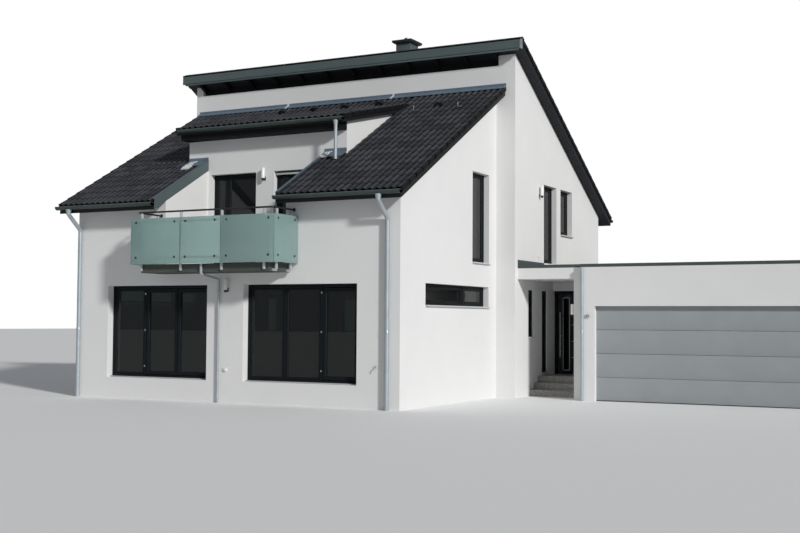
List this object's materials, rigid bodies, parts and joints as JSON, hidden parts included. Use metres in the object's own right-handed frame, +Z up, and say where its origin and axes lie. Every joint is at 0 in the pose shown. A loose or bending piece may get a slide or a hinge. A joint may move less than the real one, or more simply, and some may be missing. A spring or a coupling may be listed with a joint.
{
  "type": "detached house with dormer, balcony and attached garage",
  "caption": "Detached house with offset pitched roofs, a shed dormer over a glazed balcony, terrace doors and a flat-roofed porch and garage.",
  "frame": {"origin": "on the ground, midway across the front body, in the line where it meets the rear body", "axes": "+X to the east, where the garage is; +Y to the back of the house; +Z up"},
  "size_m": [17.86, 13.172, 9.6203],
  "materials": {
    "render": "painted smooth render",
    "concrete": "cast",
    "tiles": "matt anthracite roof tiles",
    "zinc": "weathered zinc sheet",
    "frame": "smooth anthracite",
    "timber": "dark stain",
    "cladding": "grey sheet",
    "door_panel": "light grey, satin",
    "rail": "dark grey, satin",
    "glass": "polished",
    "frosted_glass": "frosted",
    "sill": "satin",
    "lamp": "satin",
    "step_stone": "flamed granite"
  },
  "bodies": {
    "house": {"ground_floor": "concrete", "front_wall_piers": "render", "front_wall_lintel": "render", "front_wall_upper": "render", "gable_walls": "render", "step_walls": "render", "clerestory_wall": "render", "rear_east_piers": "render", "rear_east_wall": "render", "rear_west_wall": "render", "back_wall": "render", "upper_floor": "concrete", "front_roof_west": "tiles", "front_roof_east": "tiles", "loggia_cheeks": "render", "dormer_wall": "render", "dormer_cheeks": "render", "dormer_roof": "tiles", "dormer_eave_box": "timber", "rear_roof": "tiles", "high_fascia": "cladding", "high_eave_timbers": "timber", "chimney": "cladding", "gutters": "zinc", "downpipes": "zinc", "flashings": "zinc", "balcony_slab": "concrete", "balcony_posts": "rail", "front_handrail": "rail", "side_handrails": "rail", "balcony_glass": "frosted_glass", "door_frame_uprights": "frame", "door_frame_rails": "frame", "hinge_frame_knuckles": "frame", "window_frames": "frame", "balcony_door_frames": "frame", "fixed_glass": "glass", "window_sills": "sill", "entrance_pier": "render", "entrance_lintel": "render", "entrance_steps": "step_stone", "garage_front_wall": "render", "garage_side_walls": "render", "annex_back_wall": "render", "garage_floor": "concrete", "garage_door": "door_panel", "flat_roof": "concrete", "roof_edge_trim": "zinc", "wall_lamps": "lamp"},
    "west_door_left": {"west_door_left_leaf": "frame", "west_door_left_glass": "glass"},
    "west_door_right": {"west_door_right_leaf": "frame", "west_door_right_glass": "glass"},
    "east_door": {"east_door_leaf": "frame", "east_door_glass": "glass"},
    "entrance_door": {"entrance_door": "door_panel", "entrance_door_glass": "glass"}
  },
  "joints": [
    {"name": "west_door_left_hinge", "type": "hinge", "parent": "house", "child": "west_door_left", "pos_m": [-2.48733, -4.841, 1.6], "axis": [0, 0, 1], "range_deg": [0, 90]},
    {"name": "west_door_right_hinge", "type": "hinge", "parent": "house", "child": "west_door_right", "pos_m": [-0.626, -4.841, 1.6], "axis": [0, 0, -1], "range_deg": [0, 90]},
    {"name": "east_door_hinge", "type": "hinge", "parent": "house", "child": "east_door", "pos_m": [2.47933, -4.841, 1.6], "axis": [0, 0, 1], "range_deg": [0, 90]},
    {"name": "entrance_door_hinge", "type": "hinge", "parent": "house", "child": "entrance_door", "pos_m": [6.134, 2.904, 1.6], "axis": [0, 0, -1], "range_deg": [0, 90]}
  ]
}
